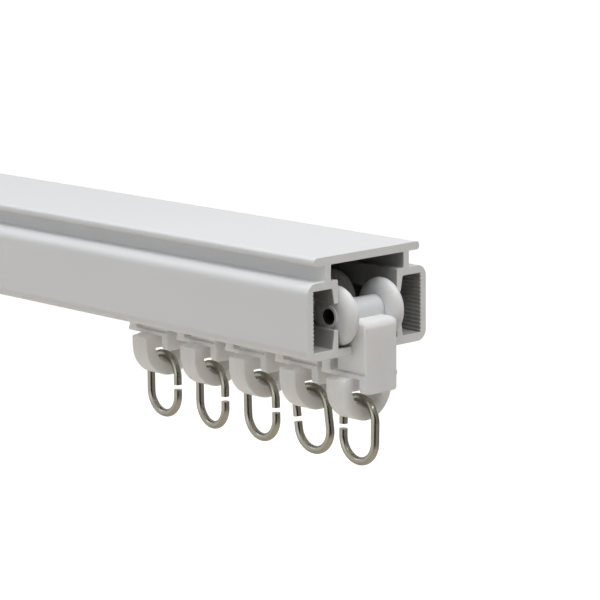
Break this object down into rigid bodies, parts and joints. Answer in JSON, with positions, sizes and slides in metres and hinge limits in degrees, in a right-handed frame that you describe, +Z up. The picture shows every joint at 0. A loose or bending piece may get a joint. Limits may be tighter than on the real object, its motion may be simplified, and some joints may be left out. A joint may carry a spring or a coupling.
{
  "type": "curtain track with roller trolleys",
  "caption": "Short length of ceiling curtain track, an aluminium extrusion with a running channel, and roller trolleys that each carry an open wire ring.",
  "frame": {"origin": "the middle of the track's flat top, which lies against the ceiling", "axes": "+X along the track to its open end with the trolleys, +Y across it, +Z up to the ceiling"},
  "size_m": [0.2546, 0.04, 0.0541],
  "materials": {
    "white_track_paint": "white satin powder coat",
    "white_hanger_plastic": "moulded, satin",
    "white_wheel_plastic": "moulded, smooth",
    "white_pin_plastic": "moulded, smooth",
    "ring_nickel": "satin nickel plate"
  },
  "bodies": {
    "track": {"track": "white_track_paint"},
    "trolley_1": {"hanger_1": "white_hanger_plastic", "axle_1": "white_pin_plastic"},
    "wheel_left_1": {"wheel_left_1": "white_wheel_plastic"},
    "wheel_right_1": {"wheel_right_1": "white_wheel_plastic"},
    "ring_1": {"ring_1": "ring_nickel"},
    "trolley_2": {"hanger_2": "white_hanger_plastic", "axle_2": "white_pin_plastic"},
    "wheel_left_2": {"wheel_left_2": "white_wheel_plastic"},
    "wheel_right_2": {"wheel_right_2": "white_wheel_plastic"},
    "ring_2": {"ring_2": "ring_nickel"},
    "trolley_3": {"hanger_3": "white_hanger_plastic", "axle_3": "white_pin_plastic"},
    "wheel_left_3": {"wheel_left_3": "white_wheel_plastic"},
    "wheel_right_3": {"wheel_right_3": "white_wheel_plastic"},
    "ring_3": {"ring_3": "ring_nickel"},
    "trolley_4": {"hanger_4": "white_hanger_plastic", "axle_4": "white_pin_plastic"},
    "wheel_left_4": {"wheel_left_4": "white_wheel_plastic"},
    "wheel_right_4": {"wheel_right_4": "white_wheel_plastic"},
    "ring_4": {"ring_4": "ring_nickel"},
    "trolley_5": {"hanger_5": "white_hanger_plastic", "axle_5": "white_pin_plastic"},
    "wheel_left_5": {"wheel_left_5": "white_wheel_plastic"},
    "wheel_right_5": {"wheel_right_5": "white_wheel_plastic"},
    "ring_5": {"ring_5": "ring_nickel"}
  },
  "joints": [
    {"name": "trolley_1_slide", "type": "slide", "parent": "track", "child": "trolley_1", "axis": [1, 0, 0], "range_m": [-0.03, 0]},
    {"name": "wheel_left_1_spin", "type": "hinge", "parent": "trolley_1", "child": "wheel_left_1", "pos_m": [0.1218, 0, -0.0155], "axis": [0, 1, 0], "continuous": true},
    {"name": "wheel_right_1_spin", "type": "hinge", "parent": "trolley_1", "child": "wheel_right_1", "pos_m": [0.1218, 0, -0.0155], "axis": [0, 1, 0], "continuous": true},
    {"name": "ring_1_swing", "type": "hinge", "parent": "trolley_1", "child": "ring_1", "pos_m": [0.1218, 0, -0.03695], "axis": [1, 0, 0], "range_deg": [-100, 100]},
    {"name": "trolley_2_slide", "type": "slide", "parent": "trolley_1", "child": "trolley_2", "axis": [1, 0, 0], "range_m": [-0.03, 0.00115]},
    {"name": "wheel_left_2_spin", "type": "hinge", "parent": "trolley_2", "child": "wheel_left_2", "pos_m": [0.10495, 0, -0.0155], "axis": [0, 1, 0], "continuous": true},
    {"name": "wheel_right_2_spin", "type": "hinge", "parent": "trolley_2", "child": "wheel_right_2", "pos_m": [0.10495, 0, -0.0155], "axis": [0, 1, 0], "continuous": true},
    {"name": "ring_2_swing", "type": "hinge", "parent": "trolley_2", "child": "ring_2", "pos_m": [0.10495, 0, -0.03695], "axis": [0.9994, 0.0349, 0], "range_deg": [-100, 100]},
    {"name": "trolley_3_slide", "type": "slide", "parent": "trolley_2", "child": "trolley_3", "axis": [1, 0, 0], "range_m": [-0.03, 0.0031]},
    {"name": "wheel_left_3_spin", "type": "hinge", "parent": "trolley_3", "child": "wheel_left_3", "pos_m": [0.08615, 0, -0.0155], "axis": [0, 1, 0], "continuous": true},
    {"name": "wheel_right_3_spin", "type": "hinge", "parent": "trolley_3", "child": "wheel_right_3", "pos_m": [0.08615, 0, -0.0155], "axis": [0, 1, 0], "continuous": true},
    {"name": "ring_3_swing", "type": "hinge", "parent": "trolley_3", "child": "ring_3", "pos_m": [0.08615, 0, -0.03695], "axis": [0.9994, -0.0349, 0], "range_deg": [-100, 100]},
    {"name": "trolley_4_slide", "type": "slide", "parent": "trolley_3", "child": "trolley_4", "axis": [1, 0, 0], "range_m": [-0.03, 0.0033]},
    {"name": "wheel_left_4_spin", "type": "hinge", "parent": "trolley_4", "child": "wheel_left_4", "pos_m": [0.06715, 0, -0.0155], "axis": [0, 1, 0], "continuous": true},
    {"name": "wheel_right_4_spin", "type": "hinge", "parent": "trolley_4", "child": "wheel_right_4", "pos_m": [0.06715, 0, -0.0155], "axis": [0, 1, 0], "continuous": true},
    {"name": "ring_4_swing", "type": "hinge", "parent": "trolley_4", "child": "ring_4", "pos_m": [0.06715, 0, -0.03695], "axis": [0.9962, -0.0872, 0], "range_deg": [-100, 100]},
    {"name": "trolley_5_slide", "type": "slide", "parent": "trolley_4", "child": "trolley_5", "axis": [1, 0, 0], "range_m": [-0.03, 0.0036]},
    {"name": "wheel_left_5_spin", "type": "hinge", "parent": "trolley_5", "child": "wheel_left_5", "pos_m": [0.04785, 0, -0.0155], "axis": [0, 1, 0], "continuous": true},
    {"name": "wheel_right_5_spin", "type": "hinge", "parent": "trolley_5", "child": "wheel_right_5", "pos_m": [0.04785, 0, -0.0155], "axis": [0, 1, 0], "continuous": true},
    {"name": "ring_5_swing", "type": "hinge", "parent": "trolley_5", "child": "ring_5", "pos_m": [0.04785, 0, -0.03695], "axis": [0.9998, -0.0175, 0], "range_deg": [-100, 100]}
  ]
}
